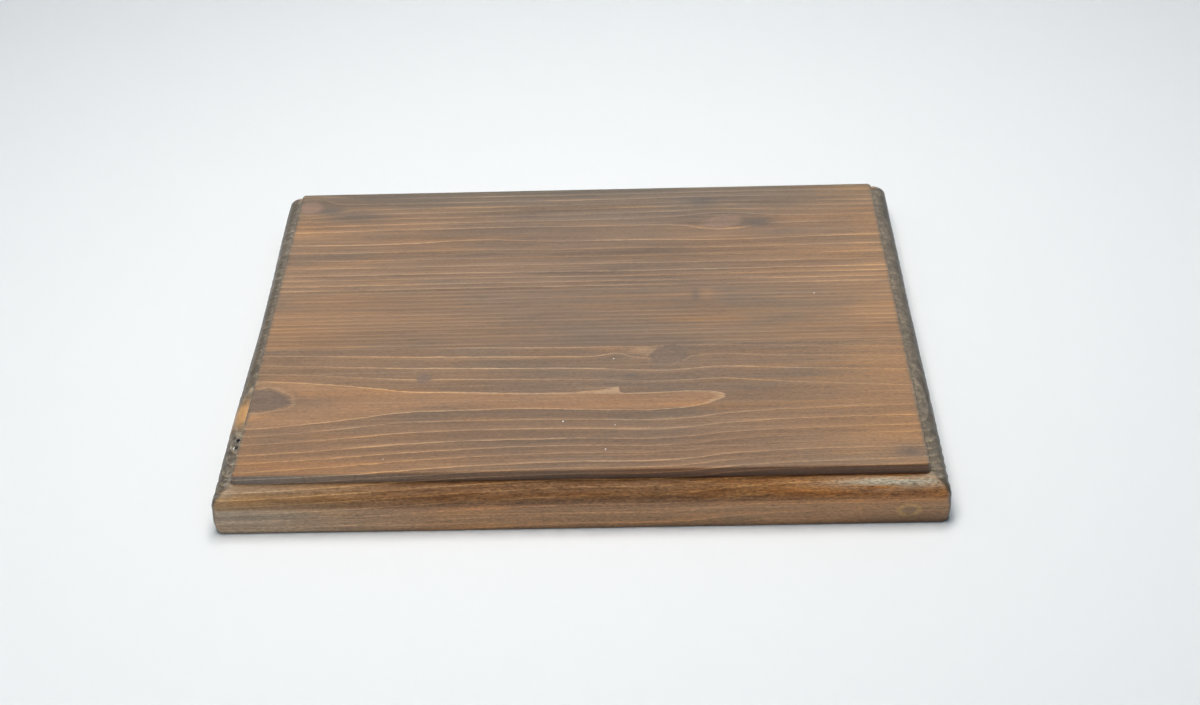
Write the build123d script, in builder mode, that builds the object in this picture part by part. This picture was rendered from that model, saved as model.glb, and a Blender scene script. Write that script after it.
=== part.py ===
# Photo album stand: a stained pine board with a moulding routed along all four edges.
# The board is an edge-glued panel of three staves, with the grain along X, and it lies flat.
# The frame is in millimetres, +Z up and +Y to the back, with the origin under the board's middle.
import os

from build123d import *

os.makedirs("parts", exist_ok=True)

# Panel: stock thickness, the upright corners and the lower edge sanded round
panel_length = 350
panel_depth = 265
panel_thickness = 28
corner_radius = 1.5
bottom_ease = 0.8

# Staves: the front one takes what is left of the depth
back_stave_width = 108.5
middle_stave_width = 50

# Moulding, from the platform outwards: step that leans out to its foot, narrow flat, quarter
# round, plain side. The slope is in degrees from upright.
step_height = 4.75
step_slope = 13
ledge_flat = 0.5
round_radius = 8.7

# Platform that the album lies on, raised by the step
step_foot_corner_radius = 3.0
platform_arris = 0.8

# Levels and spans that follow from the sizes above
ledge_height = panel_thickness - step_height
side_height = ledge_height - round_radius
moulding_width = ledge_flat + round_radius
step_foot_length = panel_length - 2 * moulding_width
step_foot_depth = panel_depth - 2 * moulding_width
back_glue_y = panel_depth / 2 - back_stave_width
front_glue_y = back_glue_y - middle_stave_width


# Upright section below the platform, for a board of the given width: plain sides that turn
# into the quarter rounds, and the flat that joins the two rounds.
def ledge_section(width):
    half_width = width / 2
    round_start = half_width - round_radius
    with BuildSketch() as section:
        with BuildLine():
            Polyline((0, 0), (half_width, 0), (half_width, side_height))
            RadiusArc((half_width, side_height), (round_start, ledge_height), -round_radius)
            Polyline((round_start, ledge_height), (0, ledge_height), (0, 0))
        make_face()
        mirror(about=Plane.YZ)
    return section.sketch


# The whole moulded panel. A router rolls round a square corner, so the rounds of the long and
# the short edges meet in a mitre, which is where their two straight runs cross.
with BuildPart() as moulded_panel:
    with BuildSketch(Plane.XZ):
        add(ledge_section(panel_length))
    extrude(amount=panel_depth / 2, both=True)
    with BuildSketch(Plane.YZ):
        add(ledge_section(panel_depth))
    extrude(amount=panel_length / 2, both=True, mode=Mode.INTERSECT)
    with BuildSketch():
        RectangleRounded(panel_length, panel_depth, corner_radius)
    extrude(amount=ledge_height, mode=Mode.INTERSECT)
    underside = moulded_panel.faces().sort_by(Axis.Z)[0]
    fillet(underside.edges(), bottom_ease)
    with BuildSketch(Plane.XY.offset(ledge_height)):
        RectangleRounded(step_foot_length, step_foot_depth, step_foot_corner_radius)
    extrude(amount=step_height, taper=step_slope)
    platform_top = moulded_panel.faces().sort_by(Axis.Z)[-1]
    fillet(platform_top.edges(), platform_arris)

# The glue joints are plain square edges, upright and parallel to the grain.
back_glue_line = Plane(origin=(0, back_glue_y, 0), z_dir=(0, 1, 0))
front_glue_line = Plane(origin=(0, front_glue_y, 0), z_dir=(0, 1, 0))

with BuildPart() as back_stave:
    add(moulded_panel.part)
    split(bisect_by=back_glue_line, keep=Keep.TOP)

with BuildPart() as middle_stave:
    add(moulded_panel.part)
    split(bisect_by=back_glue_line, keep=Keep.BOTTOM)
    split(bisect_by=front_glue_line, keep=Keep.TOP)

with BuildPart() as front_stave:
    add(moulded_panel.part)
    split(bisect_by=front_glue_line, keep=Keep.BOTTOM)

back_stave.part.label = "back_stave"
export_step(back_stave.part, "parts/back_stave.step")

middle_stave.part.label = "middle_stave"
export_step(middle_stave.part, "parts/middle_stave.step")

front_stave.part.label = "front_stave"
export_step(front_stave.part, "parts/front_stave.step")
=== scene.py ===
import math

import bmesh
import bpy
import numpy as np
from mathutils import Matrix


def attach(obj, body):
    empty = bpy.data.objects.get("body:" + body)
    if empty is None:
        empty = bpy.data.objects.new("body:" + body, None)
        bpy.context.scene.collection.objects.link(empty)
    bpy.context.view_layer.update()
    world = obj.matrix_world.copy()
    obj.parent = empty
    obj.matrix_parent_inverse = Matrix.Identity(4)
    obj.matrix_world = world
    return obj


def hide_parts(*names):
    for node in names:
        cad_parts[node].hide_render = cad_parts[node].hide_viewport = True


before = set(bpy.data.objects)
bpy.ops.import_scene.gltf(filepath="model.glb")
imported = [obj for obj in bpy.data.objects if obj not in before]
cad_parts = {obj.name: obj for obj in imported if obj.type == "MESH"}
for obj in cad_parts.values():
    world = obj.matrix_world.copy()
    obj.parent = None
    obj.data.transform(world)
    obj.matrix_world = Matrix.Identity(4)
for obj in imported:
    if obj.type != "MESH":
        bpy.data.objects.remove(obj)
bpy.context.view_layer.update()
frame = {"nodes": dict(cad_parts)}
print("frame loaded:", ", ".join(frame["nodes"]))

# All places and lengths below are in millimetres, in the board's own frame, until they reach a mesh
mm = 0.001

# Moulding, measured inwards from the board's sides and upwards from the table
moulding = {
    "length": 350, "depth": 265, "thickness": 28,
    "bottomEase": 0.8, "sideHeight": 14.55, "roundRadius": 8.7, "ledgeFlat": 0.5,
    "stepHeight": 4.75, "stepLean": 1.1, "arris": 0.75,
    "sideCorner": 2.3, "mitreWear": 4.4, "easedCorner": 0.3, "footCorner": 3.0, "topCorner": 2.0,
}
halfLength = moulding["length"] / 2
halfDepth = moulding["depth"] / 2
ledgeHeight = moulding["thickness"] - moulding["stepHeight"]
mouldingWidth = moulding["roundRadius"] + moulding["ledgeFlat"]

# How closely the mesh follows the wood: the spacing of its grid, and its rows on each part
meshing = {
    "alongGrain": 1.6, "acrossGrain": 0.9, "fineStep": 0.55, "fineReach": 5,
    "easeRows": 4, "sideRows": 9, "roundRows": 14, "stepRows": 5, "arrisRows": 4,
    "sharpAngle": 38,
}


# 0 before the start, 1 past the end and straight in between; the start may be the greater one
def ramp(value, start, end):
    return np.clip((value - start) / (end - start), 0, 1)


# A soft bump: 1 at its middle, and nearly 0 at twice its reach
def bump(value, middle, reach):
    return np.exp(-((value - middle) / reach) ** 2)


# The upright corners are sanded most at both ends of the side
def sideCorner(height):
    m = moulding
    toEnds = math.cos(math.pi * height / m["sideHeight"]) ** 2
    return m["sideCorner"] + (m["mitreWear"] - m["sideCorner"]) * toEnds


def quarterTurns(steps, first=1):
    return [math.radians(90 * step / steps) for step in range(first, steps + 1)]


# Rows of the section from the underside to the platform: inset, height, corner radius
def sectionRows():
    m = moulding
    rows = []
    for turn in quarterTurns(meshing["easeRows"], 0):
        left = 1 - math.sin(turn)
        height = m["bottomEase"] * (1 - math.cos(turn))
        rows.append((m["bottomEase"] * left, height, sideCorner(height) - m["easedCorner"] * left))
    for step in range(1, meshing["sideRows"] + 1):
        climbed = (m["sideHeight"] - m["bottomEase"]) * step / meshing["sideRows"]
        height = m["bottomEase"] + climbed
        rows.append((0, height, sideCorner(height)))
    for turn in quarterTurns(meshing["roundRows"]):
        inset = m["roundRadius"] * (1 - math.cos(turn))
        rows.append((inset, m["sideHeight"] + m["roundRadius"] * math.sin(turn), m["mitreWear"]))
    halfWay = (m["mitreWear"] + m["footCorner"]) / 2
    rows.append((mouldingWidth - m["ledgeFlat"] / 2, ledgeHeight, halfWay))
    rows.append((mouldingWidth, ledgeHeight, m["footCorner"]))
    straight = m["stepHeight"] - m["arris"]
    for step in range(1, meshing["stepRows"] + 1):
        rise = straight * step / meshing["stepRows"]
        share = rise / m["stepHeight"]
        corner = m["footCorner"] + (m["topCorner"] - m["footCorner"]) * share
        rows.append((mouldingWidth + m["stepLean"] * share, ledgeHeight + rise, corner))
    inner, corner = rows[-1][0], rows[-1][2]
    for turn in quarterTurns(meshing["arrisRows"]):
        turned = m["arris"] * (1 - math.cos(turn))
        height = ledgeHeight + straight + m["arris"] * math.sin(turn)
        rows.append((inner + turned, height, corner - turned))
    return np.array(rows)


# Places for the grid lines between two ends, closer together near the ends that turn a corner
def gridLines(start, stop, step, fineStart, fineStop):
    fine = meshing["fineStep"]
    reach = meshing["fineReach"]
    low = list(np.arange(start, start + reach, fine)) if fineStart else [start]
    high = list(np.arange(stop, stop - reach, -fine))[::-1] if fineStop else [stop]
    count = max(2, round((high[0] - low[-1]) / step))
    middle = list(np.linspace(low[-1], high[0], count + 1))[1:-1]
    return np.array(low + middle + high)


# Figure of each stave. Rings are counted from the bark side where "rings" gives their places on
# the platform, and from the heart of the pointed figure where "reach" does. A knot pushes the
# grain aside. Waves and flames are place, lift and reach, and patches of the stain, and of the painted sheen
# on the round, are place x, y, reach x, y and strength. A pit is place, reach and depth, and a speck is place
# and size.
backStave = {
    "node": "back_stave", "front": 24, "back": 132.5, "turnsFront": False, "turnsBack": True,
    "rings": (137, 132, 127, 122.5, 119.3, 115.2, 110, 104.8, 100.4, 95.3, 90, 83.8,
              70.2, 62, 54.5, 47.6, 40.6, 36, 30.8, 26.6, 22, 18),
    "pith": (260, -40), "drift": 0,
    "knots": (
        {"x": -158, "y": 109, "radius": 7.2, "long": 1.1, "turn": 20, "push": 7, "pull": 1.6,
         "tone": 0.95, "dark": 0.7, "rim": 0.08},
        {"x": 77, "y": 85.5, "radius": 6.6, "long": 1.7, "turn": 8, "push": 6.5, "pull": 2.4,
         "tone": 1.0, "dark": 0.1, "rim": 0.12},
    ),
    "waves": ((-60, 71, 2.2, 28, 7), (-165, 70, 0.6, 40, 20), (-10, 66, -0.8, 30, 10)),
    "smears": ((-146, 104.5, 9, 6, 1.0), (-131, 99, 22, 7, 0.8), (-120, 118, 50, 9, 0.8),
               (110, 108, 22, 12, 0.5), (-95, 108, 60, 12, 0.3), (105, 112, 50, 11, 0.4),
               (97, 83.5, 11, 6, 1.0), (67, 107, 11, 7, 0.8), (110, 76, 14, 4, 0.5)),
    "glows": ((-157, 86, 12, 7, 0.6), (-155, 99, 7, 2.5, 0.8), (-136, 88, 9, 3, 0.5),
              (-145, 122, 20, 4, 0.6), (70, 81, 9, 2.5, 0.4), (158, 62, 12, 22, 0.9),
              (150, 118, 14, 6, 0.6)),
    "flecked": ((-170, 84, 6, 14, 0.8),),
    "seed": 3, "lineStrength": 0.78, "steady": 0.2, "ripe": 1.0,
    "hairs": 0.12, "fine": 0.8, "streaky": 0.9, "banding": 0.92,
}
middleStave = {
    "node": "middle_stave", "front": -26, "back": 24, "turnsFront": False, "turnsBack": False,
    "rings": (28.6, 25.5, 22.6, 19.4, 15.7, 12.4, 9, 5.8, 2.4, -1.2, -4.4, -7.6, -10.6, -14.5,
              -17.8, -20.8, -24.2, -27.5, -31),
    "pith": (260, -60), "drift": 0.001,
    "smears": ((60, 17, 2.2, 6, 0.7), (55, 8, 12, 3, 0.4)),
    "glows": ((66, 17, 4, 5, 0.6), (156, 0, 13, 9, 1.3)),
    "specks": ((122.8, 15.8, 0.35),),
    "seed": 11, "lineStrength": 0.26, "steady": 0.1, "ripe": 0.55,
    "hairs": 0.07, "fine": 0.5, "streaky": 0.7, "banding": 0.58,
}
frontStave = {
    "node": "front_stave", "front": -132.5, "back": -26, "turnsFront": True, "turnsBack": False,
    "reach": (5.9, 13.5, 20.3, 27.3, 32.8, 38.1, 44, 48.6, 53.3, 58, 63, 69, 75, 81, 88, 95),
    "at": (-165, -152, -123, -91, -60, -28, 0, 35, 56, 69, 98, 130, 165),
    "axis": (-70.4, -70.4, -70.2, -69.5, -69.8, -70.4, -71.4, -73.3, -72.2, -70.2, -70.6, -71, -71.8),
    "spread": (190, 173, 100, 10, 0, -8, 0, 0, -8, -28, -84, -115, -140),
    "frontScale": (1.24, 1.22, 1.2, 1.17, 1.1, 1.05, 1, 0.98, 0.97, 0.96, 0.92, 0.9, 0.87),
    "backScale": 1.333, "pithHeight": 70, "heartFloor": 0.97,
    "knots": (
        {"x": 45, "y": -35, "radius": 8.6, "long": 1.2, "turn": 16, "push": 4.5, "pull": 1.7,
         "tone": 0.3, "dark": 0.5, "rim": 0.12},
        {"x": -79.5, "y": -50.8, "radius": 4.4, "long": 0.92, "turn": 0, "push": 1.6, "pull": 1.5,
         "tone": 0.35, "dark": 0.3, "rim": 0.08},
        {"x": -158, "y": -66, "radius": 9.9, "long": 1.5, "turn": 0, "push": 0, "pull": 1,
         "tone": 0.1, "dark": 0.5, "rim": 0.6},
    ),
    "sideKnots": (
        {"x": 155, "z": 8.5, "radius": 3.0, "long": 1.4, "turn": 0, "tone": 1.0, "dark": 0.1, "rim": 0.3},
    ),
    "waves": ((-62, -57, 0.9, 9, 3), (-30, -57.5, -0.7, 10, 3), (70, -58, 0.8, 8, 3),
              (60, -67, 2.7, 34, 9), (18, -32, 3.2, 10, 4)),
    "flames": ({"start": -20, "tip": 19, "y": -60, "lift": 5, "reach": 3.5, "climb": 1.25, "break": 3.5},),
    "pits": ((-167.6, -90, 1.3, 1.1), (-167.9, -95.4, 1.1, 0.9)),
    "bared": ((-169, -70, 7, 9, 1.3),),
    "flecked": ((-169, -94, 5, 11, 1.0), (-171, -116, 6, 12, 0.8), (-165, -127, 12, 5, 0.8)),
    "specks": ((16.3, -37.5, 0.38), (-8.4, -86.2, 0.45), (17, -89.6, 0.24), (12.4, -107.3, 0.34),
               (-93.6, -111.7, 0.3)),
    "wornAndSheen": ((-169, -127, 6, 4, 0.3), (150, -127.4, 30, 2.5, 1.15), (166, -123.5, 5, 3, 0.8)),
    "smears": ((25, -51.5, 3, 1.6, 1.0), (157, -113, 9, 4, 0.9), (-133, -68, 14, 5, 0.4),
               (-150, -95, 20, 9, 0.25)),
    "pales": ((32.5, -31, 7, 2.4, 1.2), (34, -34, 2.2, 2.4, 1.0), (8, -61, 14, 1.2, 0.45),
              (-163, -77.5, 5, 1.8, 0.8)),
    "glows": ((33, -31.5, 8, 2.6, 1.6), (33, -35, 3, 2.4, 1.4), (15, -30, 8, 1.8, 0.9),
              (-162, -77.5, 6, 2.2, 1.6), (-150, -49, 12, 3, 0.6), (154, -38, 22, 14, 1.15),
              (-115, -114, 55, 8, 0.5), (152, -102, 30, 16, 0.95)),
    "seed": 23, "lineStrength": 1.05, "steady": 0.35, "ripe": 0.85,
    "hairs": 0.14, "fine": 1.1, "streaky": 0.65, "banding": 0.48,
    "faint": ((-150, 0.6), (-100, 1), (40, 1), (115, 0.35)),
}


# Sideways shift that the grain takes to pass round knots and over waves
def grainShift(stave, x, y):
    shift = np.zeros_like(x)
    for knot in stave.get("knots", ()):
        if knot["push"]:
            along = (x - knot["x"]) / knot["pull"]
            across = y - knot["y"]
            core = knot["push"] ** 2
            shift -= across * core / np.maximum(along ** 2 + across ** 2, core)
    for waveX, waveY, lift, reachX, reachY in stave.get("waves", ()):
        shift -= lift * bump(x, waveX, reachX) * bump(y, waveY, reachY)
    # a flame climbs slowly along the grain and breaks off at its tip
    for flame in stave.get("flames", ()):
        climbed = ramp(x, flame["start"], flame["tip"]) ** flame["climb"]
        broken = ramp(x, flame["tip"] + flame["break"], flame["tip"])
        shift -= flame["lift"] * climbed * broken * bump(y, flame["y"], flame["reach"])
    return shift


# A value that changes along the board, given at a few places and eased between them
easing = {"reach": 190, "window": 31, "unevenEnds": 20}


def alongBoard(places, values, x):
    fine = np.arange(-easing["reach"], easing["reach"] + 1.0)
    window = np.hanning(easing["window"])
    eased = np.convolve(np.interp(fine, places, values), window / window.sum(), mode="same")
    kept = slice(easing["unevenEnds"], -easing["unevenEnds"])
    return np.interp(x, fine[kept], eased[kept])


# Count of rings at any point of the wood
def ringCount(stave, x, y, z):
    top = moulding["thickness"]
    across = y + grainShift(stave, x, y)
    if "rings" in stave:
        pithY, pithZ = stave["pith"]
        across = across - stave["drift"] * x
        radii = np.hypot(pithY - np.array(stave["rings"]), top - pithZ)
        return np.interp(np.hypot(pithY - across, z - pithZ), radii, np.arange(len(radii)))
    across = across - alongBoard(stave["at"], stave["axis"], x)
    frontward = -across / alongBoard(stave["at"], stave["frontScale"], x)
    across = np.where(across > 0, across / stave["backScale"], frontward)
    pithHeight = stave["pithHeight"]
    heart = np.sqrt(pithHeight ** 2 - alongBoard(stave["at"], stave["spread"], x))
    radii = np.hypot(np.array((0,) + stave["reach"]), pithHeight)
    radii[0] = stave["heartFloor"] * pithHeight
    return np.interp(np.hypot(across, heart + top - z), radii, np.arange(len(radii)))


# Soft oval patches, strongest where they lie over each other
def patches(spots, x, y):
    cover = np.zeros_like(x)
    for spotX, spotY, reachX, reachY, strength in spots:
        cover = np.maximum(cover, strength * bump(x, spotX, reachX) * bump(y, spotY, reachY))
    return cover


def readVectors(mesh, name):
    values = np.empty(len(mesh.vertices) * 3)
    mesh.vertices.foreach_get(name, values)
    return values.reshape(-1, 3)


def moveTo(mesh, places):
    mesh.vertices.foreach_set("co", (places * mm).ravel())
    mesh.update()


# Values at the points of a mesh, which the material reads by name
def layer(mesh, name, values):
    made = mesh.attributes.new(name, "FLOAT", "POINT")
    made.data.foreach_set("value", np.asarray(values, dtype=np.float32))


# A block without its glue faces, cut into an even grid
def cutBlock(name, stave, cuts):
    bm = bmesh.new()
    bmesh.ops.create_cube(bm, size=1)
    glued = [face for face in bm.faces
             if (face.normal.y > 0.5 and not stave["turnsBack"])
             or (face.normal.y < -0.5 and not stave["turnsFront"])]
    bmesh.ops.delete(bm, geom=glued, context="FACES")
    for axis, count in enumerate(cuts):
        along = [edge for edge in bm.edges
                 if abs((edge.verts[0].co - edge.verts[1].co)[axis]) > 0.5]
        bmesh.ops.subdivide_edges(bm, edges=along, cuts=count, use_grid_fill=True)
    mesh = bpy.data.meshes.new(name)
    bm.to_mesh(mesh)
    bm.free()
    return mesh


# Draws the grid of a block to the moulding, and returns where each point lies on the board
def drawToSection(mesh, stave, xLines, yLines, rows):
    place = readVectors(mesh, "co") + 0.5
    row = rows[np.rint(place[:, 2] * (len(rows) - 1)).astype(int)]
    inset, height, corner = row[:, 0], row[:, 1], row[:, 2]
    x = xLines[np.rint(place[:, 0] * (len(xLines) - 1)).astype(int)]
    y = yLines[np.rint(place[:, 1] * (len(yLines) - 1)).astype(int)]
    x = x * (halfLength - inset) / halfLength
    width = stave["back"] - stave["front"]
    if stave["turnsBack"]:
        y = stave["front"] + (y - stave["front"]) * (width - inset) / width
    if stave["turnsFront"]:
        y = stave["back"] + (y - stave["back"]) * (width - inset) / width
    # the square corner of each row is drawn to its own radius
    boxX = halfLength - inset - corner
    boxY = halfDepth - inset - corner
    overX = (np.abs(x) - boxX) / corner
    overY = (np.abs(y) - boxY) / corner
    turning = (overX > 0) & (overY > 0)
    far = np.maximum(overX, overY)
    near = np.minimum(overX, overY)
    angle = math.radians(45) * near / np.where(far > 0, far, 1)
    angle = np.where(overX >= overY, angle, math.radians(90) - angle)
    x = np.where(turning, np.sign(x) * (boxX + corner * far * np.cos(angle)), x)
    y = np.where(turning, np.sign(y) * (boxY + corner * far * np.sin(angle)), y)
    moveTo(mesh, np.column_stack((x, y, height)))
    return {"x": x, "y": y, "height": height, "inset": inset,
            "toEnd": halfLength - np.abs(x), "toLong": halfDepth - np.abs(y)}


# Rings, and how many of them there are in each millimetre across the grain
crowding = {"probe": 0.1, "wanderScale": 4.5, "wanderLimits": (0.12, 1), "tightnessLimits": (0.03, 1)}


def growRings(mesh, stave, at):
    x, y, z = at["x"], at["y"], at["height"]
    rings = ringCount(stave, x, y, z)
    probe = crowding["probe"]
    crowded = np.abs(ringCount(stave, x, y + probe, z) - ringCount(stave, x, y - probe, z)) / (2 * probe)
    layer(mesh, "rings", rings)
    layer(mesh, "crowding", np.clip(crowded * crowding["wanderScale"], *crowding["wanderLimits"]))
    layer(mesh, "tightness", np.clip(crowded, *crowding["tightnessLimits"]))
    return rings


# Knots: distance from the middle of the nearest one, as a share of its radius, and its tones. Those
# on the front side show only as deep as the side is.
knotting = {"sideDepth": 2, "offSide": 1000, "noKnot": 9.0}


def growKnots(mesh, stave, at):
    count = len(at["x"])
    reach = np.full(count, knotting["noKnot"])
    tones = {"tone": np.zeros(count), "dark": np.zeros(count), "rim": np.zeros(count)}
    for knot in stave.get("knots", ()) + stave.get("sideKnots", ()):
        if "z" in knot:
            onSide = at["toLong"] < knotting["sideDepth"]
            across = np.where(onSide, at["height"] - knot["z"], knotting["offSide"])
        else:
            across = at["y"] - knot["y"]
        along = at["x"] - knot["x"]
        lean = math.radians(knot["turn"])
        along, across = (along * math.cos(lean) + across * math.sin(lean),
                         across * math.cos(lean) - along * math.sin(lean))
        away = np.hypot(along / knot["long"], across) / knot["radius"]
        nearest = away < reach
        reach = np.where(nearest, away, reach)
        for name in tones:
            tones[name] = np.where(nearest, knot[name], tones[name])
    layer(mesh, "knotReach", reach)
    layer(mesh, "knotTone", tones["tone"])
    layer(mesh, "knotDark", tones["dark"])
    layer(mesh, "knotRim", tones["rim"])
    return reach


# Where each zone of the stain and of the painted light and shade starts and where it is full. Those named for
# a height run up the section, those for an inset run inwards from the side, and those for a place run over
# the board.
zones = {
    "platformHeight": 27.9, "roundHeight": 15, "shadeHeight": 27, "footHeight": 0.01, "nearly": 0.1,
    "mitrePlace": (-2.4, 1.6), "endPlace": (4.4, 0.2), "outerInset": (5.6, 1.4), "outerLeft": 0.53,
    "ridgedStart": -15, "ridgedReach": 45, "ridgedLeast": 0.3, "ridgedRight": 0.5,
    "shadeStart": 1.5, "shadeReach": 1.4, "greyPlace": (-60, -150), "heartyPlace": ((-130, -25), (0.12, 1)),
    "warmPlace": (-55, -100), "warmFade": ((60, 130), (1, 0)), "distantPlace": (88, 122),
    "endGlowMiddle": 5, "endGlow": (30, 165), "endGlowClimb": 1.3, "endGlowRight": 1.6,
    "endGlowShare": 0.75, "arrisGlow": 0.6, "arrisGlowPlace": 1.2, "arrisGlowReach": 1.4,
    "baredHeight": (9, 15), "wornAndSheenEdge": 0.4, "rightwardPlace": (-120, 30),
    "footShadeReach": (1.4, 2.1), "footShadeStrength": (0.5, 1.0), "footLitInset": (6, 8.5),
    "roundStart": (14, 16.5), "roundFade": ((-150, -40), (0.42, 1)),
    "highlightMiddle": -20, "highlightPlace": (55, 150), "highlightHeight": (12, 17), "ledgeTopHeight": (20, 22),
    "sideHeight": (16.5, 14), "sideFade": ((20, 110), (1, 0.84)),
    "groundHeight": (6.5, 0), "groundFade": ((-60, 60, 140), (6, 4.5, 1.0)),
}


def layStainAndPaintedLight(mesh, stave, at):
    x, y, height, inset, toEnd, toLong = (at[key] for key in ("x", "y", "height", "inset", "toEnd", "toLong"))
    edge = zones["nearly"]
    platform = (height > zones["platformHeight"]).astype(float)
    beside = 1 - platform
    onRound = (height > zones["roundHeight"]) & (inset < mouldingWidth + edge)
    onLedge = (inset < mouldingWidth + edge) & (height < ledgeHeight + edge)
    # the end grain reaches to the mitres, and over the platform's edge
    mitred = ramp(toLong - toEnd, *zones["mitrePlace"]) * (height > zones["footHeight"])
    endGrain = mitred * ramp(toEnd - mouldingWidth, *zones["endPlace"])
    longSide = 1 - mitred * beside
    ridged = np.clip((zones["ridgedStart"] - y) / zones["ridgedReach"], zones["ridgedLeast"], 1)
    layer(mesh, "endGrain", endGrain)
    layer(mesh, "ridged", ridged * np.where(x > 0, zones["ridgedRight"], 1))
    outward = ramp(inset, *zones["outerInset"]) * np.where(x < 0, zones["outerLeft"], 1)
    layer(mesh, "outward", outward * beside)
    layer(mesh, "flecked", patches(stave.get("flecked", ()), x, y) * beside)
    layer(mesh, "bared", patches(stave.get("bared", ()), x, y) * beside * ramp(height, *zones["baredHeight"]))
    # painted light on the right end's moulding, towards the foot of the step
    layer(mesh, "footLit", ramp(inset, *zones["footLitInset"]) * mitred * beside * (x > 0))

    # platform, with painted light at its ends and painted shade towards its back and along its back edge
    layer(mesh, "clear", np.interp(x, *zip(*stave.get("faint", ((0, 1),)))))
    layer(mesh, "hearty", np.interp(x, *zones["heartyPlace"]))
    layer(mesh, "smear", patches(stave["smears"], x, y))
    layer(mesh, "pale", patches(stave.get("pales", ()), x, y) * platform)
    layer(mesh, "warmed", ramp(y, *zones["warmPlace"]) * np.interp(x, *zones["warmFade"]) * platform)
    # painted shade towards the back of the platform
    layer(mesh, "paintedBackShade", ramp(y, *zones["distantPlace"]) * platform)
    fromArris = np.maximum(toLong - mouldingWidth - zones["shadeStart"], 0)
    layer(mesh, "shaded", (y > 0) * bump(fromArris, 0, zones["shadeReach"]) * (height > zones["shadeHeight"]))
    # painted light: the platform is tinted lighter towards both ends, most at the right
    ends = ramp(np.abs(x - zones["endGlowMiddle"]), *zones["endGlow"]) ** zones["endGlowClimb"]
    ends = ends * np.where(x > 0, zones["endGlowRight"], 1) * zones["endGlowShare"]
    # a band just inside the platform's front edge is tinted lighter
    fromArris = np.abs(toLong - mouldingWidth - moulding["stepLean"] - zones["arrisGlowPlace"])
    arris = ramp(fromArris, zones["arrisGlowReach"], 0) * (y < 0) * zones["arrisGlow"]
    layer(mesh, "glow", patches(stave["glows"], x, y) + np.maximum(ends, arris) * platform)

    # step, with painted light on it and painted shade growing towards the right, and the painted shade in the
    # crease at its foot
    rightward = ramp(x, *zones["rightwardPlace"])
    fromFoot = np.hypot(np.maximum(mouldingWidth - inset, 0), np.maximum(height - ledgeHeight, 0))
    paintedFootShade = bump(fromFoot, 0, np.interp(rightward, (0, 1), zones["footShadeReach"]))
    paintedFootShade = paintedFootShade * np.interp(rightward, (0, 1), zones["footShadeStrength"])
    onStep = (inset > mouldingWidth - edge) * beside * longSide
    layer(mesh, "paintedFootShade", paintedFootShade * beside * longSide)
    # painted light over the whole step face
    layer(mesh, "stepLit", onStep)
    # painted shade on the step, growing towards the right
    layer(mesh, "paintedStepShade", onStep * rightward)

    # round and side, with painted highlights and sheen on the round and painted light on the side
    # the round's tint is partly its own colour and partly painted light, deeper orange where it shows less
    # sheen
    rounded = ramp(height, *zones["roundStart"]) * onLedge * longSide
    layer(mesh, "rounded", rounded * np.interp(x, *zones["roundFade"]))
    # painted sheen along the top of the round, next to the ledge
    layer(mesh, "paintedLedgeSheen", ramp(height, *zones["ledgeTopHeight"]) * onLedge * longSide)
    # painted highlights on the round, growing towards both ends
    roundHighlight = ramp(np.abs(x - zones["highlightMiddle"]), *zones["highlightPlace"]) * ramp(height, *zones["highlightHeight"])
    layer(mesh, "paintedHighlightLeft", roundHighlight * onLedge * longSide * (x < 0))
    layer(mesh, "paintedHighlightRight", roundHighlight * onLedge * longSide * (x > 0))
    # pale patches on the ledge and the round, mostly a painted sheen
    wornAndSheenInset = mouldingWidth - zones["wornAndSheenEdge"]
    layer(mesh, "wornAndSheen", patches(stave.get("wornAndSheen", ()), x, y) * (inset < wornAndSheenInset) * longSide)
    # painted light on the sides, which are tinted much lighter than the platform
    paintedSideLight = ramp(height, *zones["sideHeight"]) * longSide
    layer(mesh, "paintedSideLight", paintedSideLight * np.interp(x, *zones["sideFade"]))
    layer(mesh, "greyed", ramp(x, *zones["greyPlace"]) * (1 - onRound) * beside * longSide)
    # painted shade along the bottom edge, darkest where the board meets the table
    layer(mesh, "paintedContactShade", ramp(height, *zones["groundHeight"]) ** np.interp(x, *zones["groundFade"]))
    return {"platform": platform, "endGrain": endGrain, "ridged": ridged}


# Wear. The soft wood of each ring is worn down, and its hard end stands proud. The edges are
# sanded by hand, and the left end is a little hollow behind.
wear = {
    "softStart": (0, 0.06), "softEnd": (0.84, 0.59), "depth": 0.035, "endDepth": 0.3, "endStart": 2,
    "cornerStart": 3, "cornerReach": 6, "cornerLeast": 0.15, "knotReach": (0.8, 1.8),
    "sanded": 0.12, "sandedLean": 0.7, "sandedReach": 46, "sandedStart": 1, "sandedFade": 3,
    "hollowPlace": 15, "hollowReach": 62, "hollowLeft": 1.3, "hollowRight": 0.35, "pitColour": 1.6,
}
wobbling = {"octaves": 4, "finer": 1.7, "weaker": 1.5, "size": 2.4}


# A slow, uneven wobble between -1 and 1 along one direction
def wobble(place, reach, seed):
    draw = np.random.default_rng(seed)
    total = np.zeros_like(place)
    for octave in range(wobbling["octaves"]):
        waves = place * wobbling["finer"] ** octave / reach
        start = draw.uniform(0, 2 * np.pi)
        total += np.sin(waves * 2 * np.pi + start) / wobbling["weaker"] ** octave
    return total / wobbling["size"]


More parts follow.
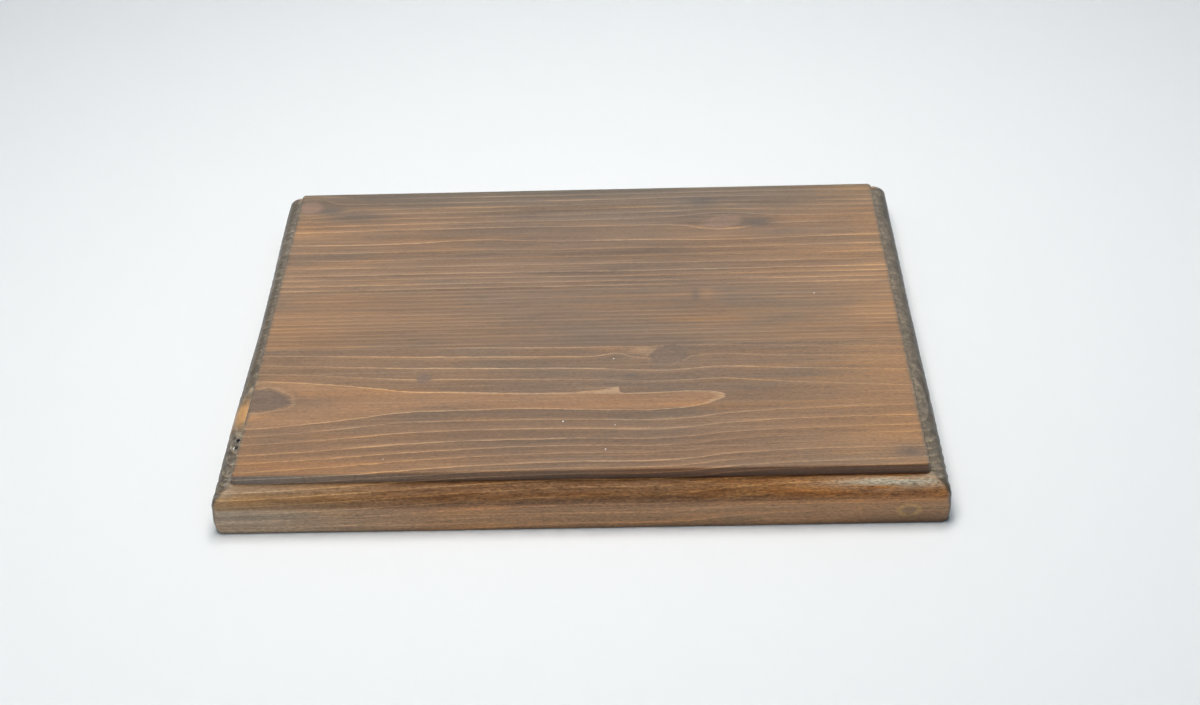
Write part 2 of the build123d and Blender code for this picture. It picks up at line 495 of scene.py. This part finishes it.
def wearDown(mesh, stave, at, rings, knotReach, stainAndPaintedLight):
    x, y, height, inset, toLong = (at[key] for key in ("x", "y", "height", "inset", "toLong"))
    part = rings - np.floor(rings)
    soft = ramp(part, *wear["softEnd"]) * ramp(part, *wear["softStart"])
    fromCorner = np.clip((toLong - wear["cornerStart"]) / wear["cornerReach"], wear["cornerLeast"], 1)
    onEnd = stainAndPaintedLight["endGrain"] * stainAndPaintedLight["ridged"] * fromCorner
    onEnd = onEnd * (inset < mouldingWidth) * (height > wear["endStart"])
    wornAndSheen = soft * (wear["depth"] + wear["endDepth"] * onEnd) * ramp(knotReach, *wear["knotReach"])
    wobbled = wobble(x + wear["sandedLean"] * y, wear["sandedReach"], stave["seed"])
    hollow = bump(y, wear["hollowPlace"], wear["hollowReach"]) * stainAndPaintedLight["endGrain"]
    hollow = hollow * np.where(x < 0, wear["hollowLeft"], wear["hollowRight"])
    sanded = (wear["sanded"] * (1 + wobbled) + hollow) * (1 - stainAndPaintedLight["platform"])
    sanded = sanded * (height > wear["sandedStart"]) * ramp(ledgeHeight - height, 0, wear["sandedFade"])
    dented = np.zeros_like(x)
    for pitX, pitY, reach, depth in stave.get("pits", ()):
        away = ((x - pitX) ** 2 + (y - pitY) ** 2) / reach ** 2
        dented = np.maximum(dented, np.exp(-away ** 2) * depth)
    layer(mesh, "pitted", np.clip(dented * wear["pitColour"], 0, 1))
    depth = (wornAndSheen + sanded + dented)[:, None]
    moveTo(mesh, np.column_stack((x, y, height)) - readVectors(mesh, "normal") * depth)


# The glue faces are closed flat
def closeGlueFace(mesh, side):
    bm = bmesh.new()
    bm.from_mesh(mesh)
    rim = [edge for edge in bm.edges
           if edge.is_boundary and all(abs(vert.co.y - side * mm) < 0.5 * mm for vert in edge.verts)]
    for vert in {vert for edge in rim for vert in edge.verts}:
        vert.co.y = side * mm
    bmesh.ops.holes_fill(bm, edges=rim, sides=0)
    bmesh.ops.recalc_face_normals(bm, faces=bm.faces)
    bm.to_mesh(mesh)
    bm.free()


def makeStave(name, stave):
    rows = sectionRows()
    xLines = gridLines(-halfLength, halfLength, meshing["alongGrain"], True, True)
    yLines = gridLines(stave["front"], stave["back"], meshing["acrossGrain"],
                       stave["turnsFront"], stave["turnsBack"])
    mesh = cutBlock(name, stave, (len(xLines) - 2, len(yLines) - 2, len(rows) - 2))
    at = drawToSection(mesh, stave, xLines, yLines, rows)
    rings = growRings(mesh, stave, at)
    knotReach = growKnots(mesh, stave, at)
    stainAndPaintedLight = layStainAndPaintedLight(mesh, stave, at)
    wearDown(mesh, stave, at, rings, knotReach, stainAndPaintedLight)
    if not stave["turnsBack"]:
        closeGlueFace(mesh, stave["back"])
    if not stave["turnsFront"]:
        closeGlueFace(mesh, stave["front"])
    for polygon in mesh.polygons:
        polygon.use_smooth = True
    mesh.set_sharp_from_angle(angle=math.radians(meshing["sharpAngle"]))
    piece = bpy.data.objects.new(name, mesh)
    bpy.context.scene.collection.objects.link(piece)
    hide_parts(stave["node"])
    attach(piece, "root")
    print(name, "made:", len(mesh.vertices), "points")
    return piece


# Stain, varnish and painted light. The first colours are the wood's own, as linear colours, but the pale
# colour of the patches on the round is mostly a painted sheen.
stainedPineAndPaintedLight = {
    "soft": (0.1685, 0.102, 0.0585), "firm": (0.2085, 0.1258, 0.0721), "hard": (0.428, 0.273, 0.1555),
    "pale": (0.34, 0.21, 0.112), "smear": (0.105, 0.075, 0.055), "roundLine": (0.42, 0.25, 0.09),
    "wornAndSheen": (0.46, 0.39, 0.28), "knotDark": (0.1, 0.07, 0.046), "knotPale": (0.242, 0.143, 0.09),
    "sideRim": (0.64, 0.37, 0.1), "endGrain": (0.125, 0.106, 0.07), "endLine": (0.27, 0.235, 0.165),
    "bared": (0.47, 0.255, 0.095), "fleck": (0.55, 0.52, 0.46), "pitted": (0.012, 0.01, 0.009),
    "chipped": (0.75, 0.74, 0.7),
    # these multiply the colour that is under them. Those for the ledge top, the ends of the round, the sides,
    # the step, the crease at the step's foot, the bottom edge, the back of the platform, its back edge and
    # the foot of the right end are painted light and shade, and the tints of the round and of the orange glow
    # are partly painted light
    "heart": (1.24, 1.09, 0.89), "amber": (1.52, 1.25, 0.77), "glow": (1.62, 1.42, 1.06),
    "cool": (0.88, 0.95, 1.05), "warmed": (1.06, 0.975, 0.86), "paintedBackShade": (0.81, 0.91, 0.98),
    "shaded": (0.66, 0.72, 0.62), "rounded": (1.16, 0.88, 0.55), "paintedLedgeSheen": (0.96, 1.06, 1.3),
    "paintedHighlightLeft": (1.68, 1.9, 1.95), "paintedHighlightRight": (1.75, 1.5, 0.9), "mottledDark": (0.74, 0.66, 0.54),
    "mottledPale": (1.18, 1.2, 1.25), "greyed": (1.0, 1.34, 2.03), "paintedSideLight": (2.18, 1.82, 1.33),
    "stepLit": (1.45, 1.42, 1.36), "paintedStepShade": (0.6, 0.47, 0.38), "paintedFootShade": (0.36, 0.33, 0.29),
    "paintedContactShade": (0.17, 0.18, 0.2), "endInner": (1.4, 1.28, 1.25), "endOuter": (0.63, 0.53, 0.39),
    "footLit": (1.28, 1.26, 1.22), "pores": (0.72, 0.72, 0.72), "crumbs": (0.6, 0.58, 0.55),
    # varnish, and the grain that stands up in it, in metres
    "roughness": 0.44, "coat": 0.1, "coatRoughness": 0.35, "relief": 0.35, "reliefDepth": 0.0002,
}

# Noise in the wood: waves per metre along X, Y and Z, detail and roughness
grain = {
    "wander": ((9, 90, 90), 2, 0.5), "ragged": ((80, 900, 900), 2, 0.6), "fading": ((14, 30, 30), 2, 0.6),
    "streaks": ((25, 560, 560), 3, 0.65), "fibres": ((480, 1700, 1700), 3, 0.7),
    "bands": ((10, 110, 110), 2, 0.5), "grit": ((480, 1500, 1500), 2, 0.7),
    "flecks": ((150, 900, 900), 2, 0.6), "clouds": ((8, 26, 26), 3, 0.55), "amber": ((11, 170, 170), 2, 0.6),
    "greys": ((15, 60, 60), 3, 0.6), "hairs": ((7, 800, 800), 2, 0.55), "mottled": ((60, 700, 700), 3, 0.7),
    "wornAndSheenStreaks": ((30, 500, 500), 3, 0.7), "lobes": ((25, 35, 35), 2, 0.5), "knotEdge": ((60, 90, 90), 3, 0.6),
    "outward": ((200, 120, 200), 3, 0.6), "pores": ((700, 700, 700), 2, 0.7),
    "crumbs": ((260, 260, 260), 3, 0.7), "paleFlecks": ((420, 420, 420), 3, 0.75),
    "frayed": ((70, 420, 420), 3, 0.65), "chips": ((500, 500, 500), 2, 0.6),
    "speckEdge": ((900, 900, 900), 1, 0.5),
}

# Each stave has its own stretch of the noise, and its own strengths of the rings, by its seed
seeding = {"noise": (1.7, 3.1, 0.9), "chance": 0.37}

# From where to where each part of the figure fades in or out, and how much of it shows
figure = {
    "wander": 0.4, "ragged": 0.25, "lineBody": (0.25, 1.3), "lineTip": (0.0, 0.1),
    "chanceShare": 0.55, "lineFading": (0.34, 0.62), "heart": (0.97, 1.0), "heartEdge": (1.0, 1.02, 0.85),
    "mouldedLine": 0.72, "ripening": (0.6, 3.8), "ripePart": (0.15, 0.6),
    "clouds": (0.42, 0.7, 0.35), "amber": (0.52, 0.72, 0.45), "amberShare": 0.8, "glowShare": 0.62,
    "greys": (0.48, 0.68), "hairs": (0.54, 0.66), "sideHairs": 0.08, "paleFibres": 0.8, "paleShare": 0.85,
    "smearShare": 0.88, "roundLine": 0.8, "mottledDark": (0.47, 0.6), "mottledPale": (0.36, 0.47),
    "wornAndSheenStreaks": (0.3, 0.52), "flecks": (0.56, 0.68), "fleckDepth": 0.16, "grit": 1.1, "fibres": 1.2,
    "ringChance": 0.1, "evenShade": 0.98, "roughFibres": 0.2,
    "reliefFibres": 0.5, "reliefLines": 0.8, "reliefStreaks": 0.7,
}
knotFigure = {
    "lobes": 0.35, "edge": 0.7, "fibres": 0.35, "inside": (0.8, 1.06), "insideShare": 0.92,
    "sideShare": 0.65, "haloIn": (0.55, 0.95), "haloOut": (1.0, 1.7), "haloShare": 0.45,
    "rings": 22.0, "ringDepth": 0.16, "ringMiddle": 0.5, "ringShare": 0.5, "toneShare": 0.7,
    "rimIn": (0.95, 1.03), "rimOut": (1.06, 1.16), "rimShare": 0.55, "sideRim": 0.6,
}
endFigure = {
    "lines": (0.55, 0.95), "outwardEdge": 0.7, "outward": (0.2, 0.8), "pores": (0.45, 0.65),
    "crumbs": (0.42, 0.62), "bared": (0.2, 0.42), "paleFlecks": (0.52, 0.66), "fleckShare": 0.6,
    "frayed": 0.4, "border": (0.2, 0.95), "pitRimIn": (0.08, 0.3), "pitRimOut": (0.35, 0.6),
    "chips": (0.52, 0.6), "pitInside": (0.3, 0.75), "speckRagged": 0.6, "speckEdge": (0.7, 1.2),
}


def wire(tree, kind, settings, **sockets):
    made = tree.nodes.new(kind)
    for name, value in settings.items():
        setattr(made, name, value)
    for name, value in sockets.items():
        socket = made.inputs[int(name[2:])] if name[:2] == "in" and name[2:].isdigit() else made.inputs[name]
        if isinstance(value, bpy.types.NodeSocket):
            tree.links.new(value, socket)
        else:
            socket.default_value = value
    return made


def pineMaterial(name, stave):
    finishAndPaintedLight = stainedPineAndPaintedLight
    material = bpy.data.materials.new(name)
    material.use_nodes = True
    tree = material.node_tree
    tree.nodes.clear()
    place = wire(tree, "ShaderNodeTexCoord", {}).outputs["Object"]
    shift = [stave["seed"] * share for share in seeding["noise"]]

    def maths(operation, first, second=0.0, third=0.0):
        return wire(tree, "ShaderNodeMath", {"operation": operation},
                    in0=first, in1=second, in2=third).outputs[0]

    def add(first, second):
        return maths("ADD", first, second)

    def times(first, second):
        return maths("MULTIPLY", first, second)

    def swing(value, amount):
        return times(maths("SUBTRACT", value, 0.5), amount)

    def between(value, low, high, first, last):
        return wire(tree, "ShaderNodeMapRange", {"interpolation_type": "SMOOTHSTEP"},
                    in0=value, in1=low, in2=high, in3=first, in4=last).outputs[0]

    def rising(value, low, high, most=1.0):
        return between(value, low, high, 0.0, most)

    def falling(value, low, high, most=1.0):
        return between(value, low, high, most, 0.0)

    def mix(factor, first, second, mode="MIX"):
        made = wire(tree, "ShaderNodeMix", {"data_type": "RGBA", "blend_type": mode}, in0=factor)
        for socket, value in ((made.inputs[6], first), (made.inputs[7], second)):
            if isinstance(value, bpy.types.NodeSocket):
                tree.links.new(value, socket)
            else:
                socket.default_value = (*value, 1)
        return made.outputs[2]

    # a tint over the colour where the factor is, used for the stain and for the painted light and shade
    def stainAndPaintedLight(factor, under, tint):
        return mix(factor, under, mix(1.0, under, tint, "MULTIPLY"))

    def noise(key):
        scale, detail, roughness = grain[key]
        stretched = wire(tree, "ShaderNodeMapping", {}, Vector=place, Location=shift, Scale=scale).outputs[0]
        return wire(tree, "ShaderNodeTexNoise", {}, Vector=stretched, Scale=1.0, Detail=detail,
                    Roughness=roughness).outputs["Fac"]

    def read(key):
        return wire(tree, "ShaderNodeAttribute", {"attribute_name": key}).outputs["Fac"]

    # ring lines, with a slow wander and a ragged edge; they are weaker on the moulding
    wander = add(swing(noise("wander"), figure["wander"]), swing(noise("ragged"), figure["ragged"]))
    rings = add(read("rings"), times(read("crowding"), wander))
    part = maths("FRACT", rings)
    whiteNoise = wire(tree, "ShaderNodeTexWhiteNoise", {"noise_dimensions": "1D"},
                      W=add(maths("FLOOR", rings), stave["seed"] + seeding["chance"]))
    chance = whiteNoise.outputs["Value"]
    toLine = maths("DIVIDE", maths("SUBTRACT", 1.0, part), read("tightness"))
    line = times(falling(toLine, *figure["lineBody"]), rising(toLine, *figure["lineTip"]))
    strength = maths("MULTIPLY_ADD", chance, figure["chanceShare"], 1 - figure["chanceShare"])
    strength = times(strength, between(noise("fading"), *figure["lineFading"], stave["steady"], 1.0))
    heart = 0.0
    if "reach" in stave:
        heart = falling(rings, *figure["heart"])
        strength = maths("MAXIMUM", strength, falling(rings, *figure["heartEdge"]))
    line = times(times(line, read("clear")), times(strength, stave["lineStrength"]))
    moulded = maths("MAXIMUM", read("rounded"), read("paintedSideLight"))
    line = times(line, maths("MULTIPLY_ADD", moulded, -figure["mouldedLine"], 1.0))

    # each ring is even and dark at first, and ripens over its last few millimetres
    ripening = times(falling(toLine, *figure["ripening"]), rising(part, *figure["ripePart"]))
    ripening = maths("MAXIMUM", times(ripening, times(read("clear"), stave["ripe"])), heart)
    colour = mix(ripening, finishAndPaintedLight["soft"], finishAndPaintedLight["firm"])
    if "reach" in stave:
        colour = stainAndPaintedLight(times(heart, read("hearty")), colour, finishAndPaintedLight["heart"])
    colour = mix(line, colour, finishAndPaintedLight["hard"])

    # clouds, hairs and patches of the stain, then a tint for each zone, many of them painted light and shade
    warm = add(rising(noise("clouds"), *figure["clouds"]), rising(noise("amber"), *figure["amber"]))
    colour = stainAndPaintedLight(times(warm, figure["amberShare"]), colour, finishAndPaintedLight["amber"])
    colour = stainAndPaintedLight(times(read("glow"), figure["glowShare"]), colour, finishAndPaintedLight["glow"])
    colour = stainAndPaintedLight(rising(noise("greys"), *figure["greys"]), colour, finishAndPaintedLight["cool"])
    hairs = maths("MULTIPLY_ADD", read("paintedSideLight"), figure["sideHairs"], stave["hairs"])
    colour = mix(times(rising(noise("hairs"), *figure["hairs"]), hairs), colour, finishAndPaintedLight["hard"])
    fibres = noise("fibres")
    pale = add(swing(fibres, figure["paleFibres"]), figure["paleShare"])
    colour = mix(times(read("pale"), pale), colour, finishAndPaintedLight["pale"])
    colour = mix(times(read("smear"), figure["smearShare"]), colour, finishAndPaintedLight["smear"])
    # the tints of the ledge top, the round's ends, the sides, the step, the crease at its foot, the back of
    # the platform and its back edge are painted light and shade, and the round's tint is partly painted light
    for zone in ("warmed", "rounded", "paintedLedgeSheen", "paintedHighlightLeft", "paintedHighlightRight", "greyed", "paintedSideLight", "stepLit",
                 "paintedStepShade", "paintedFootShade", "paintedBackShade", "shaded"):
        colour = stainAndPaintedLight(read(zone), colour, finishAndPaintedLight[zone])

    # the round is mottled, with gold lines, and pale in streaky patches, which are mostly a painted sheen
    colour = mix(times(times(line, figure["roundLine"]), read("rounded")), colour, finishAndPaintedLight["roundLine"])
    mottled = noise("mottled")
    darkSpots = times(rising(mottled, *figure["mottledDark"]), read("rounded"))
    paleSpots = times(falling(mottled, *figure["mottledPale"]), read("rounded"))
    colour = stainAndPaintedLight(darkSpots, colour, finishAndPaintedLight["mottledDark"])
    colour = stainAndPaintedLight(paleSpots, colour, finishAndPaintedLight["mottledPale"])
    wornAndSheenStreaks = times(read("wornAndSheen"), rising(noise("wornAndSheenStreaks"), *figure["wornAndSheenStreaks"]))
    colour = mix(wornAndSheenStreaks, colour, finishAndPaintedLight["wornAndSheen"])

    # knots: grey, with a firm edge that fades into the wood beside them
    edge = add(swing(noise("knotEdge"), knotFigure["edge"]), swing(fibres, knotFigure["fibres"]))
    blurred = add(add(read("knotReach"), swing(noise("lobes"), knotFigure["lobes"])), edge)
    inside = falling(blurred, *knotFigure["inside"])
    inside = times(inside, maths("SUBTRACT", 1.0, times(read("paintedSideLight"), knotFigure["sideShare"])))
    halo = times(rising(blurred, *knotFigure["haloIn"]), falling(blurred, *knotFigure["haloOut"]))
    knotRings = maths("SINE", times(blurred, knotFigure["rings"]))
    knotRings = maths("MULTIPLY_ADD", knotRings, knotFigure["ringDepth"], knotFigure["ringMiddle"])
    knotTone = times(read("knotTone"), knotFigure["toneShare"])
    knotTone = add(times(knotRings, knotFigure["ringShare"]), knotTone)
    knotColour = mix(knotTone, finishAndPaintedLight["knotDark"], finishAndPaintedLight["knotPale"])
    colour = mix(times(inside, knotFigure["insideShare"]), colour, knotColour)
    colour = mix(times(halo, times(read("knotDark"), knotFigure["haloShare"])), colour, finishAndPaintedLight["knotDark"])
    rim = times(rising(blurred, *knotFigure["rimIn"]), falling(blurred, *knotFigure["rimOut"]))
    colour = mix(times(rim, times(read("knotRim"), knotFigure["rimShare"])), colour, finishAndPaintedLight["hard"])
    colour = mix(times(halo, times(read("paintedSideLight"), knotFigure["sideRim"])), colour, finishAndPaintedLight["sideRim"])

    # end grain takes the most stain, and shows its hard lines as pale ridges
    ridges = times(rising(part, *endFigure["lines"]), read("ridged"))
    endColour = mix(ridges, finishAndPaintedLight["endGrain"], finishAndPaintedLight["endLine"])
    outward = add(read("outward"), swing(noise("outward"), endFigure["outwardEdge"]))
    endTint = mix(rising(outward, *endFigure["outward"]), finishAndPaintedLight["endInner"], finishAndPaintedLight["endOuter"])
    endColour = mix(1.0, endColour, endTint, "MULTIPLY")
    # painted light on the right end's moulding, towards the foot of the step
    endColour = stainAndPaintedLight(read("footLit"), endColour, finishAndPaintedLight["footLit"])
    endColour = stainAndPaintedLight(rising(noise("pores"), *endFigure["pores"]), endColour, finishAndPaintedLight["pores"])
    crumbs = noise("crumbs")
    endColour = stainAndPaintedLight(falling(crumbs, *endFigure["crumbs"]), endColour, finishAndPaintedLight["crumbs"])
    endColour = mix(times(read("bared"), rising(crumbs, *endFigure["bared"])), endColour, finishAndPaintedLight["bared"])
    paleFlecks = times(read("flecked"), rising(noise("paleFlecks"), *endFigure["paleFlecks"]))
    endColour = mix(times(paleFlecks, endFigure["fleckShare"]), endColour, finishAndPaintedLight["fleck"])
    border = add(read("endGrain"), swing(noise("frayed"), endFigure["frayed"]))
    colour = mix(rising(border, *endFigure["border"]), colour, endColour)
    # painted shade along the bottom edge, darkest where the board meets the table
    colour = stainAndPaintedLight(read("paintedContactShade"), colour, finishAndPaintedLight["paintedContactShade"])

    # light and dark of the grain
    streaks = noise("streaks")
    shade = add(swing(streaks, stave["streaky"]), swing(fibres, figure["fibres"] * stave["fine"]))
    shade = add(shade, times(rising(noise("flecks"), *figure["flecks"]), -figure["fleckDepth"]))
    shade = add(shade, swing(noise("bands"), stave["banding"]))
    shade = add(shade, times(swing(noise("grit"), figure["grit"]), add(moulded, read("rounded"))))
    shade = add(shade, maths("MULTIPLY_ADD", chance, figure["ringChance"], figure["evenShade"]))
    shade = wire(tree, "ShaderNodeCombineColor", {}, Red=shade, Green=shade, Blue=shade).outputs[0]
    colour = mix(1.0, colour, shade, "MULTIPLY")

    # dents go black, and their rims are chipped to the bare wood
    pitted = read("pitted")
    pitRim = times(rising(pitted, *endFigure["pitRimIn"]), falling(pitted, *endFigure["pitRimOut"]))
    chips = times(pitRim, rising(noise("chips"), *endFigure["chips"]))
    colour = mix(rising(pitted, *endFigure["pitInside"]), colour, finishAndPaintedLight["pitted"])
    colour = mix(chips, colour, finishAndPaintedLight["chipped"])
    for speckX, speckY, size in stave.get("specks", ()):
        centre = (speckX * mm, speckY * mm, moulding["thickness"] * mm)
        away = wire(tree, "ShaderNodeVectorMath", {"operation": "DISTANCE"}, in0=place, in1=centre)
        away = add(away.outputs["Value"], swing(noise("speckEdge"), endFigure["speckRagged"] * mm))
        inner, outer = (share * size * mm for share in endFigure["speckEdge"])
        colour = mix(falling(away, inner, outer), colour, finishAndPaintedLight["chipped"])

    rough = add(finishAndPaintedLight["roughness"], swing(fibres, figure["roughFibres"]))
    relief = add(times(fibres, figure["reliefFibres"]), times(line, figure["reliefLines"]))
    relief = add(relief, times(streaks, figure["reliefStreaks"]))
    raised = wire(tree, "ShaderNodeBump", {}, Strength=finishAndPaintedLight["relief"], Distance=finishAndPaintedLight["reliefDepth"],
                  Height=relief).outputs[0]
    shader = wire(tree, "ShaderNodeBsdfPrincipled", {}, **{
        "Base Color": colour, "Roughness": rough, "Normal": raised, "Coat Weight": finishAndPaintedLight["coat"],
        "Coat Roughness": finishAndPaintedLight["coatRoughness"]})
    wire(tree, "ShaderNodeOutputMaterial", {}, Surface=shader.outputs[0])
    return material


for name, stave in (("backStave", backStave), ("middleStave", middleStave), ("frontStave", frontStave)):
    piece = makeStave(name + "Wood", stave)
    piece.data.materials.append(pineMaterial(name + "Pine", stave))
print("staves stained and varnished")


# Table and light, in metres. The overhead light is matt, and the card behind shows only as a
# reflection in the varnish.
studio = {
    "tableSize": 12, "tableColour": (0.875, 0.89, 0.885), "tableRoughness": 0.7, "tableSoftness": 0.0015,
    "airColour": (0.8, 0.98, 1.2), "airStrength": 0.22, "lampColour": (1.02, 0.99, 0.955),
    "lamps": {
        "overhead": {"place": (-0.06, 0.04, 1.05), "size": (0.85, 0.36), "power": 11.25,
                     "reflected": False, "lights": True},
        "backCard": {"place": (0.25, 1.6, 1.25), "size": (3.4, 1.5), "power": 19,
                     "reflected": True, "lights": False},
    },
}


def makeTable():
    bm = bmesh.new()
    bmesh.ops.create_grid(bm, x_segments=1, y_segments=1, size=studio["tableSize"] / 2)
    mesh = bpy.data.meshes.new("tableTop")
    bm.to_mesh(mesh)
    bm.free()
    table = bpy.data.objects.new("tableTop", mesh)
    bpy.context.scene.collection.objects.link(table)
    material = bpy.data.materials.new("paleTable")
    material.use_nodes = True
    shader = material.node_tree.nodes["Principled BSDF"]
    shader.subsurface_method = "BURLEY"
    shader.inputs["Base Color"].default_value = (*studio["tableColour"], 1)
    shader.inputs["Roughness"].default_value = studio["tableRoughness"]
    shader.inputs["Subsurface Weight"].default_value = 1
    shader.inputs["Subsurface Radius"].default_value = (1, 1, 1)
    shader.inputs["Subsurface Scale"].default_value = studio["tableSoftness"]
    mesh.materials.append(material)


def makeLight():
    world = bpy.data.worlds.new("studioAir")
    bpy.context.scene.world = world
    world.use_nodes = True
    background = world.node_tree.nodes["Background"]
    background.inputs["Color"].default_value = (*studio["airColour"], 1)
    background.inputs["Strength"].default_value = studio["airStrength"]
    for name, kind in studio["lamps"].items():
        lamp = bpy.data.lights.new(name, "AREA")
        lamp.shape = "RECTANGLE"
        lamp.size, lamp.size_y = kind["size"]
        lamp.energy = kind["power"]
        lamp.color = studio["lampColour"]
        softbox = bpy.data.objects.new(name, lamp)
        bpy.context.scene.collection.objects.link(softbox)
        softbox.location = kind["place"]
        softbox.rotation_euler = (-softbox.location).to_track_quat("-Z", "Y").to_euler()
        softbox.visible_diffuse = kind["lights"]
        softbox.visible_glossy = kind["reflected"]


# Camera as fitted to the corners of the board: place in metres, turn in degrees, lens in millimetres
viewpoint = {
    "place": (0.0298, -0.7360, 0.5761), "turn": (52.078, 1.669, 0.368), "lens": 52.376, "sensor": 36,
}


def makeCamera():
    camera = bpy.data.objects.new("camera", bpy.data.cameras.new("camera"))
    camera.data.sensor_fit = "HORIZONTAL"
    camera.data.sensor_width = viewpoint["sensor"]
    camera.data.lens = viewpoint["lens"]
    camera.location = viewpoint["place"]
    camera.rotation_euler = [math.radians(angle) for angle in viewpoint["turn"]]
    bpy.context.scene.collection.objects.link(camera)
    bpy.context.scene.camera = camera


makeTable()
makeLight()
makeCamera()
bpy.context.scene.view_settings.view_transform = "Standard"
print("table, light and camera set")
